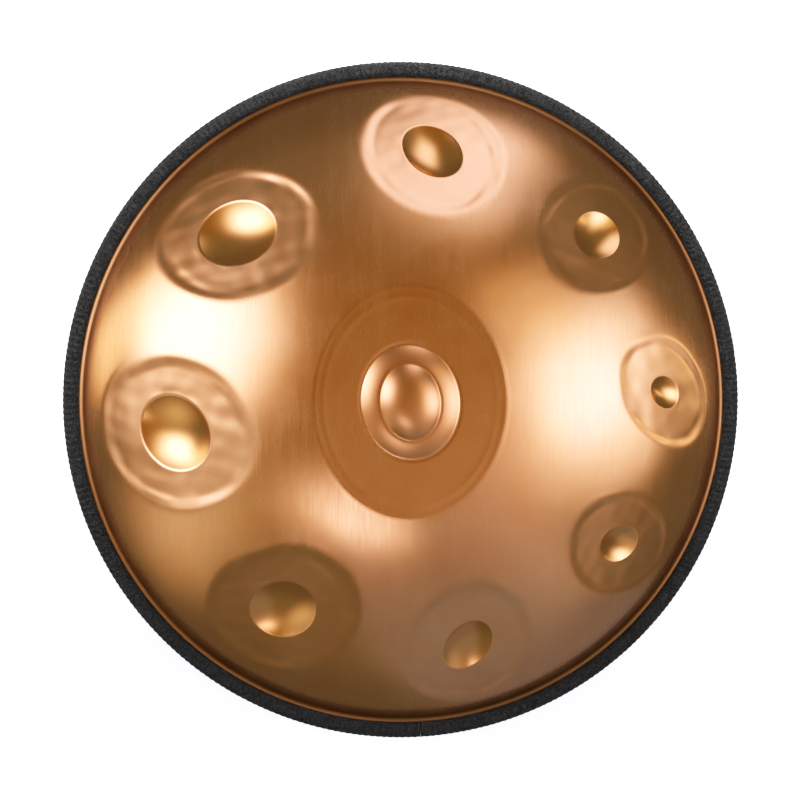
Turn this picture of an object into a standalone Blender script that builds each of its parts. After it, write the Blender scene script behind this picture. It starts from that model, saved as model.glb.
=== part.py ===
"""Handpan: two drawn steel shells glued flange to flange, with a rubber edge trim on the rim.

The origin is the middle of the ring that the instrument rests on. +Z is the axis, towards the
ding, and bearings run counter-clockwise from +X. Metres and degrees.
"""

import math
from collections import namedtuple

import bmesh
import bpy
from mathutils import Vector
from mathutils.geometry import delaunay_2d_cdt

# Sheet and fits
STEEL = 0.0012
GAP = 0.0003
GLUE_THICKNESS = 0.0005
SEGMENTS = 60

# Dome: a crown arc that meets a tighter shoulder arc, then a fillet into the flange
CROWN_RADIUS = 0.385
SHOULDER_START = 0.195
SHOULDER_RADIUS = 0.205
DOME_HEIGHT = 0.1197
FOOT_FILLET = 0.006
FLANGE_RADIUS = 0.2765

# Port of the lower shell, and the flat ring round it that the instrument rests on
LAND_OUTER = 0.070
LAND_INNER = 0.056
NECK_ROLL = 0.007
NECK_LENGTH = 0.034

# Glue ring
GLUE_INNER = 0.2685
GLUE_OUTER = 0.2755

# Edge trim: a U of rubber round a folded steel core, closed by one butt joint
TRIM_RADIUS = 0.280
TRIM_LIP_RADIUS = 0.2668
TRIM_LIP_THICKNESS = 0.0007
TRIM_LIP_REACH = 0.0042
TRIM_LIP_STEPS = 4
TRIM_HALF_HEIGHT = 0.0044
TRIM_CORNER = 0.004
TRIM_CORNER_REACH = 0.0055
TRIM_JOINT_BEARING = -87.0
TRIM_JOINT_WIDTH = 0.0004
CORE_THICKNESS = 0.0006
CORE_HALF_HEIGHT = 0.0032
CORE_REACH = 0.2784
CORE_CORNER = 0.0027
CORE_LIP_RADIUS = 0.2710
CORE_JOINT_WIDTH = 0.003
JOINT_CUTTER_LENGTH = 0.030
JOINT_CUTTER_HEIGHT = 0.016

# Ding: a flattened oval field with a raised oval in two steps
DING_FIELD_LENGTH = 0.090
DING_FIELD_WIDTH = 0.074
DING_FIELD_HEADING = 90.0
DING_FIELD_DEPTH = 0.0075
DING_HEADING = 97.0
DING_STEPS = (
    # half length, half width, height, exponent of the crown
    (0.0435, 0.0375, 0.0070, 3.2),
    (0.0287, 0.0225, 0.0056, 2.0),
)

# Tone fields, from the lowest note to the highest. Half lengths and widths lie in the dome's
# surface, and a heading is the bearing of a long axis.
ToneField = namedtuple(
    "ToneField", "bearing radius length width heading dimple_length dimple_width dimple_heading"
)
TONE_FIELDS = (
    ToneField(-172.4, 0.188, 0.0755, 0.0620, 167.0, 0.0335, 0.0290, 156.0),
    ToneField(135.4, 0.192, 0.0735, 0.0580, 167.0, 0.0335, 0.0280, 172.0),
    ToneField(-120.9, 0.195, 0.0690, 0.0555, 39.0, 0.0295, 0.0245, 42.0),
    ToneField(84.2, 0.203, 0.0650, 0.0555, 109.0, 0.0280, 0.0225, 116.0),
    ToneField(-76.0, 0.2035, 0.0630, 0.0510, 90.0, 0.0255, 0.0190, 76.0),
    ToneField(41.1, 0.2045, 0.0600, 0.0465, 38.0, 0.0230, 0.0195, 37.0),
    ToneField(-33.8, 0.2075, 0.0525, 0.0430, 154.0, 0.0185, 0.0155, 170.0),
    ToneField(1.9, 0.210, 0.0545, 0.0425, 153.0, 0.0160, 0.0125, 165.0),
)
FIELD_FLATNESS = 0.8
DIMPLE_DEPTH_RATIO = 0.27
FIELD_SOFTNESS = 0.12
DIMPLE_SOFTNESS = 0.08

# A field's hammered border: a short slope down from the dome to the flat, inside its edge
BORDER_DEPTH = 0.0007
BORDER_WIDTH = 0.20

# Mesh density of the upper shell
RING_SPACING = 0.018
FIELD_RINGS = ((1.08, 24), (0.97, 24), (0.82, 20))
DIMPLE_RINGS = ((1.05, 20), (0.96, 20), (0.66, 14), (0.33, 7))
DING_RINGS = ((1.07, 32), (0.96, 32), (0.75, 28))
DING_STEP_RINGS = ((1.06, 28), (0.97, 28), (0.82, 24))
DING_TOP_RING = (0.45, 12)
FIELD_KEEP_OUT = 1.22
DING_KEEP_OUT = 1.16

# Heights that follow from the sizes above
SHOULDER_SINE = SHOULDER_START / CROWN_RADIUS
SHOULDER_COSINE = math.sqrt(1.0 - SHOULDER_SINE ** 2)
SHOULDER_AXIS = (CROWN_RADIUS - SHOULDER_RADIUS) * SHOULDER_SINE
SHOULDER_DEPTH = CROWN_RADIUS - (CROWN_RADIUS - SHOULDER_RADIUS) * SHOULDER_COSINE
FOOT_RISE = FOOT_FILLET + SHOULDER_DEPTH - DOME_HEIGHT
FLANGE_START = SHOULDER_AXIS + math.sqrt((SHOULDER_RADIUS + FOOT_FILLET) ** 2 - FOOT_RISE ** 2)
FOOT_SINE = (FLANGE_START - SHOULDER_AXIS) / (SHOULDER_RADIUS + FOOT_FILLET)
DOME_EDGE = SHOULDER_AXIS + SHOULDER_RADIUS * FOOT_SINE
LAND_DROP = CROWN_RADIUS - math.sqrt(CROWN_RADIUS ** 2 - LAND_OUTER ** 2)
LOWER_FLANGE_Z = DOME_HEIGHT - LAND_DROP
RIM_Z = LOWER_FLANGE_Z + STEEL + GAP + GLUE_THICKNESS / 2
UPPER_FLANGE_Z = RIM_Z + GLUE_THICKNESS / 2 + GAP + STEEL
FLANGE_STACK_HALF = UPPER_FLANGE_Z - RIM_Z


def clear_scene():
    """Remove every object and material, so that the model starts from nothing."""
    for item in list(bpy.data.objects):
        bpy.data.objects.remove(item, do_unlink=True)
    for material in list(bpy.data.materials):
        bpy.data.materials.remove(material)


def new_collection(name):
    """Make a collection and link it to the scene."""
    collection = bpy.data.collections.new(name)
    bpy.context.scene.collection.children.link(collection)
    return collection


def new_material(name, color, roughness, metallic):
    """Make a Principled material."""
    material = bpy.data.materials.new(name)
    material.use_nodes = True
    shader = material.node_tree.nodes["Principled BSDF"]
    shader.inputs["Base Color"].default_value = (*color, 1.0)
    shader.inputs["Roughness"].default_value = roughness
    shader.inputs["Metallic"].default_value = metallic
    return material


def new_object(name, collection, mesh, material=None, parent=None):
    """Put a mesh into a collection under a name, with an optional material and parent."""
    item = bpy.data.objects.new(name, mesh)
    collection.objects.link(item)
    item.parent = parent
    if material:
        mesh.materials.append(material)
    return item


def shade_round(mesh):
    """Shade smooth, with edges over 30 degrees kept sharp."""
    mesh.shade_smooth()
    mesh.set_sharp_from_angle(angle=math.radians(30.0))


def arc(center_r, center_z, radius, start, end, steps):
    """Points of an arc in the (radius, z) half plane, from one angle in degrees to another."""
    points = []
    for index in range(steps + 1):
        angle = math.radians(start + (end - start) * index / steps)
        points.append((center_r + radius * math.cos(angle), center_z + radius * math.sin(angle)))
    return points


def profile_mesh(name, points, closed):
    """Turn (radius, z) points into a mesh of edges in the XZ plane."""
    vertices = [(radius, 0.0, height) for radius, height in points]
    edges = [(index, index + 1) for index in range(len(points) - 1)]
    if closed:
        edges.append((len(points) - 1, 0))
    mesh = bpy.data.meshes.new(name)
    mesh.from_pydata(vertices, edges, [])
    return mesh


def turned(name, collection, points, closed, material=None, parent=None):
    """Turn a profile round the Z axis with a Screw modifier."""
    mesh = profile_mesh(name, points, closed)
    item = new_object(name, collection, mesh, material, parent)
    screw = item.modifiers.new("turn", "SCREW")
    screw.axis = "Z"
    screw.angle = math.radians(360.0)
    screw.steps = SEGMENTS
    screw.render_steps = SEGMENTS
    screw.use_merge_vertices = True
    screw.merge_threshold = 0.00001
    screw.use_smooth_shade = True
    return item


def thicken(item):
    """Give an open skin the sheet's thickness, on the side away from its normals."""
    solidify = item.modifiers.new("sheet", "SOLIDIFY")
    solidify.thickness = STEEL
    solidify.offset = -1.0
    solidify.use_even_offset = True
    solidify.use_quality_normals = True


def cut(item, cutter):
    """Subtract a cutter from an object."""
    boolean = item.modifiers.new(cutter.name, "BOOLEAN")
    boolean.operation = "DIFFERENCE"
    boolean.solver = "EXACT"
    boolean.object = cutter


def hide_cutter(item):
    """Show a cutter as wire and keep it out of renders."""
    item.hide_render = True
    item.display_type = "WIRE"


def dome_drop(radius):
    """How far the smooth dome's outer skin lies below its crown at a distance from the axis."""
    if radius <= SHOULDER_START:
        return CROWN_RADIUS - math.sqrt(CROWN_RADIUS ** 2 - radius ** 2)
    if radius <= DOME_EDGE:
        return SHOULDER_DEPTH - math.sqrt(SHOULDER_RADIUS ** 2 - (radius - SHOULDER_AXIS) ** 2)
    if radius <= FLANGE_START:
        sag = math.sqrt(FOOT_FILLET ** 2 - (FLANGE_START - radius) ** 2)
        return DOME_HEIGHT - FOOT_FILLET + sag
    return DOME_HEIGHT


def dome_point(x, y):
    """Point of the upper shell's smooth dome over a plan position."""
    height = UPPER_FLANGE_Z + DOME_HEIGHT - dome_drop(math.hypot(x, y))
    return Vector((x, y, height))


def dome_normal(x, y):
    """Outward normal of the smooth dome over a plan position."""
    radius = math.hypot(x, y)
    if radius <= SHOULDER_START:
        sine = radius / CROWN_RADIUS
    else:
        sine = (radius - SHOULDER_AXIS) / SHOULDER_RADIUS
    out = Vector((x, y, 0.0)) / radius
    return out * sine + Vector((0.0, 0.0, math.sqrt(1.0 - sine ** 2)))


class Oval:
    """An ellipse that lies in the dome's tangent plane at a plan position."""

    def __init__(self, bearing, radius, length, width, heading):
        x = radius * math.cos(math.radians(bearing))
        y = radius * math.sin(math.radians(bearing))
        self.center = dome_point(x, y)
        self.normal = dome_normal(x, y) if radius > 0.0 else Vector((0.0, 0.0, 1.0))
        ahead = Vector((math.cos(math.radians(heading)), math.sin(math.radians(heading)), 0.0))
        self.along = (ahead - self.normal * ahead.dot(self.normal)).normalized()
        self.across = self.normal.cross(self.along)
        self.length = length
        self.width = width

    def reach(self, point):
        """Distance of a point from the center, where 1 is on the oval's edge."""
        offset = point - self.center
        ahead = offset.dot(self.along) / self.length
        aside = offset.dot(self.across) / self.width
        return math.hypot(ahead, aside)

    def ring(self, scale, count):
        """Plan positions of points on the dome round the oval, at a multiple of its size."""
        positions = []
        for index in range(count):
            angle = math.tau * index / count
            point = self.center + self.along * (self.length * scale * math.cos(angle))
            point = point + self.across * (self.width * scale * math.sin(angle))
            positions.append(self.drop_onto_dome(point))
        return positions

    def drop_onto_dome(self, point):
        """Slide a point along the oval's normal until it is on the dome."""
        for _ in range(12):
            gap = point.z - dome_point(point.x, point.y).z
            point = point - self.normal * (gap * self.normal.z)
        return (point.x, point.y)


def ramp(value, softness):
    """The value where it is positive and zero elsewhere, with the corner rounded."""
    if value <= -softness:
        return 0.0
    if value >= softness:
        return value
    return (value + softness) ** 2 / (4.0 * softness)


def border_step(reach):
    """How far down the hammered border's slope a point is, from 0 at its top to 1 inside it."""
    share = min(max((1.0 - reach) / BORDER_WIDTH, 0.0), 1.0)
    return share * share * (3.0 - 2.0 * share)


def field_oval(field):
    """The flattened oval of a tone field."""
    return Oval(field.bearing, field.radius, field.length, field.width, field.heading)


def dimple_oval(field):
    """The dimple's oval in the middle of a tone field."""
    return Oval(
        field.bearing, field.radius, field.dimple_length, field.dimple_width, field.dimple_heading
    )


FIELD_OVALS = [(field_oval(field), dimple_oval(field)) for field in TONE_FIELDS]
DING_OVAL = Oval(0.0, 0.0, DING_FIELD_LENGTH, DING_FIELD_WIDTH, DING_FIELD_HEADING)
DING_STEP_OVALS = [
    Oval(0.0, 0.0, length, width, DING_HEADING) for length, width, _, _ in DING_STEPS
]


def field_press(point):
    """How the hammered tone fields and their dimples move a point of the dome."""
    move = Vector((0.0, 0.0, 0.0))
    for oval, dimple in FIELD_OVALS:
        flat_depth = FIELD_FLATNESS * oval.length * oval.width / (2.0 * CROWN_RADIUS)
        dimple_depth = DIMPLE_DEPTH_RATIO * (dimple.length + dimple.width) / 2.0
        reach = oval.reach(point)
        inward = flat_depth * ramp(1.0 - reach ** 2, FIELD_SOFTNESS)
        inward += BORDER_DEPTH * border_step(reach)
        inward += dimple_depth * ramp(1.0 - dimple.reach(point) ** 2, DIMPLE_SOFTNESS)
        move -= oval.normal * inward
    return move


def ding_press(point):
    """How far the ding raises or lowers a point of the dome."""
    rise = -DING_FIELD_DEPTH * ramp(1.0 - DING_OVAL.reach(point) ** 2, FIELD_SOFTNESS)
    for oval, (_, _, height, exponent) in zip(DING_STEP_OVALS, DING_STEPS):
        rise += height * ramp(1.0 - oval.reach(point) ** exponent, DIMPLE_SOFTNESS)
    return Vector((0.0, 0.0, rise))


def skin_point(x, y):
    """Point of the finished upper skin that starts at a plan position of the smooth dome."""
    point = dome_point(x, y)
    return point + field_press(point) + ding_press(point)


def is_free(x, y):
    """Whether a plan position is clear of every oval's own rings."""
    point = dome_point(x, y)
    if DING_OVAL.reach(point) < DING_KEEP_OUT:
        return False
    return all(oval.reach(point) > FIELD_KEEP_OUT for oval, _ in FIELD_OVALS)


def circle(radius, count):
    """Plan positions evenly round the axis."""
    angles = [math.tau * index / count for index in range(count)]
    return [(radius * math.cos(angle), radius * math.sin(angle)) for angle in angles]


def upper_plan():
    """Plan positions and closed rings for the upper shell's mesh."""
    loops = []
    for radius in (DOME_EDGE, (DOME_EDGE + FLANGE_START) / 2, FLANGE_START, FLANGE_RADIUS):
        loops.append(circle(radius, SEGMENTS))
    for oval, dimple in FIELD_OVALS:
        loops.extend(oval.ring(scale, count) for scale, count in FIELD_RINGS)
        loops.extend(dimple.ring(scale, count) for scale, count in DIMPLE_RINGS)
    loops.extend(DING_OVAL.ring(scale, count) for scale, count in DING_RINGS)
    for oval in DING_STEP_OVALS:
        loops.extend(oval.ring(scale, count) for scale, count in DING_STEP_RINGS)
    loops.append(DING_STEP_OVALS[-1].ring(*DING_TOP_RING))
    loose = [(0.0, 0.0)]
    loose.extend((dimple.center.x, dimple.center.y) for _, dimple in FIELD_OVALS)
    rings = int((DOME_EDGE - RING_SPACING) / RING_SPACING)
    for index in range(rings):
        radius = DOME_EDGE - RING_SPACING * (index + 1)
        count = 8 * max(1, round(math.tau * radius / RING_SPACING / 8))
        loose.extend(spot for spot in circle(radius, min(count, SEGMENTS)) if is_free(*spot))
    return loops, loose


def upper_skin_mesh():
    """Outer skin of the upper shell: a plan triangulation lifted onto the pressed dome."""
    loops, loose = upper_plan()
    spots = []
    edges = []
    for loop in loops:
        first = len(spots)
        spots.extend(loop)
        edges.extend((first + index, first + (index + 1) % len(loop)) for index in range(len(loop)))
    spots.extend(loose)
    flat = [Vector(spot) for spot in spots]
    plan, _, triangles, _, _, _ = delaunay_2d_cdt(flat, edges, [], 0, 0.00001)
    mesh = bpy.data.meshes.new("top_shell")
    mesh.from_pydata([skin_point(spot.x, spot.y) for spot in plan], [], triangles)
    shade_round(mesh)
    return mesh


def add_top_shell(collection, root):
    """The ding shell: dome, flange, eight tone fields and the ding, in one sheet."""
    material = new_material("top_shell_steel", (0.62, 0.30, 0.11), 0.30, 1.0)
    item = new_object("top_shell", collection, upper_skin_mesh(), material, root)
    thicken(item)
    return item


def lower_profile():
    """Outer skin of the lower shell, from the flange's edge to the end of the neck."""
    foot = math.degrees(math.asin(FOOT_SINE))
    shoulder = math.degrees(math.asin(SHOULDER_SINE))
    land = math.degrees(math.asin(LAND_OUTER / CROWN_RADIUS))
    fillet_z = LOWER_FLANGE_Z - FOOT_FILLET
    shoulder_z = LOWER_FLANGE_Z - DOME_HEIGHT + SHOULDER_DEPTH
    crown_z = LOWER_FLANGE_Z - DOME_HEIGHT + CROWN_RADIUS
    points = [(FLANGE_RADIUS, LOWER_FLANGE_Z)]
    points += arc(FLANGE_START, fillet_z, FOOT_FILLET, 90.0, 90.0 + foot, 3)
    points += arc(SHOULDER_AXIS, shoulder_z, SHOULDER_RADIUS, foot - 90.0, shoulder - 90.0, 5)[1:]
    points += arc(0.0, crown_z, CROWN_RADIUS, shoulder - 90.0, land - 90.0, 5)[1:]
    points += arc(LAND_INNER, NECK_ROLL, NECK_ROLL, -90.0, -180.0, 3)
    points.append((LAND_INNER - NECK_ROLL, NECK_LENGTH))
    return points


def add_bottom_shell(collection, root):
    """The gu shell: the same dome turned over, with the port, its neck and the resting ring."""
    material = new_material("bottom_shell_steel", (0.58, 0.28, 0.11), 0.32, 1.0)
    item = turned("bottom_shell", collection, lower_profile(), False, material, root)
    thicken(item)
    return item


def add_rim_glue(collection, root):
    """The ring of adhesive between the two flanges."""
    half = GLUE_THICKNESS / 2
    points = [
        (GLUE_INNER, RIM_Z + half),
        (GLUE_OUTER, RIM_Z + half),
        (GLUE_OUTER, RIM_Z - half),
        (GLUE_INNER, RIM_Z - half),
    ]
    material = new_material("rim_glue_resin", (0.30, 0.27, 0.20), 0.5, 0.0)
    return turned("rim_glue", collection, points, True, material, root)


def trim_shoulder(side, start, end):
    """The trim's rounded outer edge above (1) or below (-1) its middle, wider than it is high."""
    corner_z = side * (TRIM_HALF_HEIGHT - TRIM_CORNER)
    quarter = arc(0.0, corner_z, TRIM_CORNER, start, end, 4)
    stretch = TRIM_CORNER_REACH / TRIM_CORNER
    corner_r = TRIM_RADIUS - TRIM_CORNER_REACH
    return [(corner_r + radius * stretch, height) for radius, height in quarter]


def trim_lip(side, step_count):
    """The trim's face above (1) or below (-1) its middle, from the thin lip up to full height."""
    lip_z = FLANGE_STACK_HALF + GAP + TRIM_LIP_THICKNESS
    points = []
    for step in range(step_count + 1):
        share = step / step_count
        height = lip_z + (TRIM_HALF_HEIGHT - lip_z) * math.sin(share * math.pi / 2.0)
        points.append((TRIM_LIP_RADIUS + TRIM_LIP_REACH * share, side * height))
    return points


def trim_outline():
    """Section of the edge trim: rounded outside, lips that thin towards the feet of the domes,
    and the slot that takes both flanges."""
    slot_r = FLANGE_RADIUS + GAP
    slot_z = FLANGE_STACK_HALF + GAP
    points = trim_lip(1, TRIM_LIP_STEPS)
    points += trim_shoulder(1, 90.0, 0.0)
    points += trim_shoulder(-1, 0.0, -90.0)
    points += trim_lip(-1, TRIM_LIP_STEPS)[::-1]
    points.append((TRIM_LIP_RADIUS, -slot_z))
    points.append((slot_r, -slot_z))
    points.append((slot_r, slot_z))
    points.append((TRIM_LIP_RADIUS, slot_z))
    return [(radius, RIM_Z + height) for radius, height in points]


def core_outline(half_thickness, lip_radius):
    """Section of the folded core: a U of constant thickness, open towards the axis."""
    corner_r = CORE_REACH - CORE_CORNER
    corner_z = CORE_HALF_HEIGHT - CORE_CORNER
    outside = CORE_CORNER + half_thickness
    inside = CORE_CORNER - half_thickness
    points = [(lip_radius, CORE_HALF_HEIGHT + half_thickness)]
    points += arc(corner_r, corner_z, outside, 90.0, 0.0, 2)
    points += arc(corner_r, -corner_z, outside, 0.0, -90.0, 2)
    points.append((lip_radius, -CORE_HALF_HEIGHT - half_thickness))
    points.append((lip_radius, -CORE_HALF_HEIGHT + half_thickness))
    points += arc(corner_r, -corner_z, inside, -90.0, 0.0, 2)
    points += arc(corner_r, corner_z, inside, 0.0, 90.0, 2)
    points.append((lip_radius, CORE_HALF_HEIGHT - half_thickness))
    return [(radius, RIM_Z + height) for radius, height in points]


def joint_cutter(name, collection, width):
    """A thin block across the rim that opens a ring at the trim's butt joint."""
    mesh = bpy.data.meshes.new(name)
    block = bmesh.new()
    bmesh.ops.create_cube(block, size=1.0)
    size = (JOINT_CUTTER_LENGTH, width, JOINT_CUTTER_HEIGHT)
    bmesh.ops.scale(block, vec=size, verts=block.verts)
    block.to_mesh(mesh)
    block.free()
    item = new_object(name, collection, mesh)
    bearing = math.radians(TRIM_JOINT_BEARING)
    rim = (TRIM_LIP_RADIUS + TRIM_RADIUS) / 2
    item.location = (rim * math.cos(bearing), rim * math.sin(bearing), RIM_Z)
    item.rotation_euler = (0.0, 0.0, bearing)
    hide_cutter(item)
    return item


def add_rim_trim(collection, cutters, root):
    """The rubber of the edge trim, hollow where its core runs and cut at its butt joint."""
    material = new_material("rim_trim_rubber", (0.020, 0.020, 0.022), 0.62, 0.0)
    item = turned("rim_trim", collection, trim_outline(), True, material, root)
    channel_outline = core_outline(CORE_THICKNESS / 2 + GAP, CORE_LIP_RADIUS - GAP)
    channel = turned("core_channel", cutters, channel_outline, True)
    hide_cutter(channel)
    cut(item, channel)
    cut(item, joint_cutter("trim_joint", cutters, TRIM_JOINT_WIDTH))
    return item


def add_rim_trim_core(collection, cutters, root):
    """The folded steel strip inside the trim, which makes it grip the flanges."""
    material = new_material("rim_trim_core_steel", (0.55, 0.55, 0.56), 0.4, 1.0)
    outline = core_outline(CORE_THICKNESS / 2, CORE_LIP_RADIUS)
    item = turned("rim_trim_core", collection, outline, True, material, root)
    cut(item, joint_cutter("core_joint", cutters, CORE_JOINT_WIDTH))
    return item


def main():
    """Build the handpan."""
    clear_scene()
    parts = new_collection("handpan")
    cutters = new_collection("handpan_cutters")
    root = bpy.data.objects.new("handpan_root", None)
    parts.objects.link(root)
    add_top_shell(parts, root)
    add_bottom_shell(parts, root)
    add_rim_glue(parts, root)
    add_rim_trim(parts, cutters, root)
    add_rim_trim_core(parts, cutters, root)
    bpy.context.view_layer.update()


main()
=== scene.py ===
"""Handpan: its finished surfaces, materials, camera and studio, built round the CAD frame.

Metres, +Z along the axis towards the ding. Bearings run counter-clockwise from +X, in degrees.
"""

import math
from collections import namedtuple

import bpy
import numpy as np
from mathutils import Matrix, Vector
from mathutils.geometry import delaunay_2d_cdt, tessellate_polygon


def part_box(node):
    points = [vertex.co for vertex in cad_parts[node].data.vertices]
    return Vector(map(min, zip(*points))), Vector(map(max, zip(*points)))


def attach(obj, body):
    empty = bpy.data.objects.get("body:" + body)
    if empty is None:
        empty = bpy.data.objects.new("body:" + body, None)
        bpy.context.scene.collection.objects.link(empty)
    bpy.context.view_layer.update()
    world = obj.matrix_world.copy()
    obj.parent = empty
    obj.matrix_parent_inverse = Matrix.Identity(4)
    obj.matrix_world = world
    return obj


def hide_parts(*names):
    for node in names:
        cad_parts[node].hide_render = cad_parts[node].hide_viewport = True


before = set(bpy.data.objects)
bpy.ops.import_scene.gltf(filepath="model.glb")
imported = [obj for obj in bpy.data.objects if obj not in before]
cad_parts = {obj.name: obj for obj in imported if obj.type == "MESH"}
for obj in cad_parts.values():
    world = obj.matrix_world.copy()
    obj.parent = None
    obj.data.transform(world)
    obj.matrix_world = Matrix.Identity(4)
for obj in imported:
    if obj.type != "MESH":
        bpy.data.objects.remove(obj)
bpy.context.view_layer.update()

# Places that come from the CAD frame
STEEL = 0.0012
FIT_GAP = 0.0003
SHELL_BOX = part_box("top_shell")
GU_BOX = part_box("bottom_shell")
TRIM_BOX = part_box("rim_trim")
CORE_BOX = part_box("rim_trim_core")
FLANGE_RADIUS = SHELL_BOX[1].x
UPPER_FLANGE_Z = SHELL_BOX[0].z + STEEL
LOWER_FLANGE_Z = GU_BOX[1].z - STEEL
GROUND_Z = GU_BOX[0].z
TRIM_RADIUS = TRIM_BOX[1].x
TRIM_HALF_HEIGHT = (TRIM_BOX[1].z - TRIM_BOX[0].z) / 2
RIM_Z = (TRIM_BOX[1].z + TRIM_BOX[0].z) / 2

# Dome, as in the CAD
CROWN_RADIUS = 0.385
SHOULDER_START = 0.195
SHOULDER_RADIUS = 0.205
DOME_HEIGHT = 0.1197
FOOT_FILLET = 0.006
SHOULDER_SINE = SHOULDER_START / CROWN_RADIUS
SHOULDER_COSINE = math.sqrt(1.0 - SHOULDER_SINE ** 2)
SHOULDER_AXIS = (CROWN_RADIUS - SHOULDER_RADIUS) * SHOULDER_SINE
SHOULDER_DEPTH = CROWN_RADIUS - (CROWN_RADIUS - SHOULDER_RADIUS) * SHOULDER_COSINE
FOOT_RISE = FOOT_FILLET + SHOULDER_DEPTH - DOME_HEIGHT
FLANGE_START = SHOULDER_AXIS + math.sqrt((SHOULDER_RADIUS + FOOT_FILLET) ** 2 - FOOT_RISE ** 2)
FOOT_SINE = (FLANGE_START - SHOULDER_AXIS) / (SHOULDER_RADIUS + FOOT_FILLET)
DOME_EDGE = SHOULDER_AXIS + SHOULDER_RADIUS * FOOT_SINE

# Port of the lower shell
LAND_OUTER = 0.070
LAND_INNER = 0.056
NECK_ROLL = 0.007
NECK_LENGTH = 0.034

# Ding
DING_FIELD_LENGTH = 0.090
DING_FIELD_WIDTH = 0.074
DING_FIELD_HEADING = 90.0
DING_FIELD_DEPTH = 0.0075
DING_HEADING = 97.0
DingStep = namedtuple("DingStep", "length width height exponent")
DING_STEPS = (
    DingStep(0.0435, 0.0375, 0.0070, 3.2),
    DingStep(0.0287, 0.0225, 0.0056, 2.0),
)
TRENCH_DEPTH = 0.00030
TRENCH_HALF_WIDTH = 0.0013
TRENCH_REACH = 1.035

# Faint ridges that the press leaves round the ding's field: where they are, and their height
DING_RIDGES = ((1.0, 0.00030), (0.90, 0.00014))
DING_RIDGE_HALF_WIDTH = 0.0018

# Tone fields, from the lowest note to the highest
ToneField = namedtuple(
    "ToneField", "bearing radius length width heading dimple_length dimple_width dimple_heading"
)
TONE_FIELDS = (
    ToneField(-172.4, 0.188, 0.0755, 0.0620, 167.0, 0.0335, 0.0290, 156.0),
    ToneField(135.4, 0.192, 0.0735, 0.0580, 167.0, 0.0335, 0.0280, 172.0),
    ToneField(-120.9, 0.195, 0.0690, 0.0555, 39.0, 0.0295, 0.0245, 42.0),
    ToneField(84.2, 0.203, 0.0650, 0.0555, 109.0, 0.0280, 0.0225, 116.0),
    ToneField(-76.0, 0.2035, 0.0630, 0.0510, 90.0, 0.0255, 0.0190, 76.0),
    ToneField(41.1, 0.2045, 0.0600, 0.0465, 38.0, 0.0230, 0.0195, 37.0),
    ToneField(-33.8, 0.2075, 0.0525, 0.0430, 154.0, 0.0185, 0.0155, 170.0),
    ToneField(1.9, 0.210, 0.0545, 0.0425, 153.0, 0.0160, 0.0125, 165.0),
)
FIELD_FLATNESS = 0.8
DIMPLE_DEPTH_RATIO = 0.27
FIELD_SOFTNESS = 0.12
DIMPLE_SOFTNESS = 0.08
BORDER_DEPTH = 0.0007
BORDER_WIDTH = 0.20

# Marks of the hammer: height of the waves, their length across the blows, and the first seed
WaveKind = namedtuple("WaveKind", "height length seed")
BORDER_WAVES = WaveKind(0.00017, 0.015, 100)
FACE_WAVES = WaveKind(0.00006, 0.016, 200)
DING_WAVES = WaveKind(0.000051, 0.015, 300)
BODY_WAVES = WaveKind(0.00010, 0.075, 400)
WAVE_COUNT = 24
BORDER_STRETCH = 3.5

# Bands round an oval, in shares of its size: the middle and the half width
BORDER_MARKS = (0.90, 0.11)
DING_MARKS = (0.95, 0.08)
BORDER_STAIN_BAND = (0.95, 0.09)
RING_STAIN_BAND = (1.0, 0.035)

# Where marks and zones of the finish end and how they fade, also in shares of an oval's size
FACE_MARKS_EDGE = 0.95
FACE_MARKS_FADE = 0.15
DIMPLE_MARKS_FADE = 0.2
ZONE_EDGE = 1.02
ZONE_FADE = 0.06

# The body's waves start this far from the axis, and fade in and out over these lengths
BODY_MARKS_START = 0.05
BODY_MARKS_FADE_IN = 0.05
BODY_MARKS_FADE_OUT = 0.02

# Where the dome's polish dies away towards the rim, and where painted shade darkens its foot next to
# the trim
FOOT_DULL_START = 0.254
FOOT_DULL_REACH = 0.009

# Mesh density
RIM_COUNT = 480
BODY_SPACING = 0.0045
FACE_SPACING = 0.0035
INNER_SPACING = 0.010
INNER_FACE_SPACING = 0.007
ROW_PITCH = 0.866
DROP_STEPS = 12
SLOPE_STEP = 0.0001
LOWER_COUNT = 240
LOWER_ARC_STEPS = 24
LOWER_FILLET_STEPS = 8

# Rings of points on an oval: its scale at the outermost and the innermost ring, the number of
# rings, and the points on each
CREASE_RINGS = (1.18, 0.76, 17, 128)
DIMPLE_RIM_RINGS = (1.16, 0.84, 15, 96)
DIMPLE_BOWL_RINGS = (0.79, 0.30, 9, 64)
DIMPLE_MIDDLE_RINGS = (0.22, 0.08, 2, 24)
DING_EDGE_RINGS = (1.12, 0.89, 9, 144)
STEP_RINGS = ((1.16, 0.83, 20, 120), (1.16, 0.83, 16, 96))
DING_TOP_RINGS = (0.77, 0.11, 11, 56)
INNER_CREASE_RINGS = (1.10, 0.80, 6, 64)
INNER_DIMPLE_RINGS = (1.10, 0.82, 6, 48)
INNER_BOWL_RINGS = (0.7, 0.1, 4, 24)
INNER_DING_RINGS = (1.08, 0.60, 6, 72)
INNER_STEP_RINGS = (1.06, 0.90, 4, 48)
INNER_TOP_RINGS = (0.7, 0.1, 3, 24)

# Edges over these angles, in degrees, are shaded sharp
LOWER_SHARP_ANGLE = 30.0
TRIM_SHARP_ANGLE = 35.0

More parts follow.
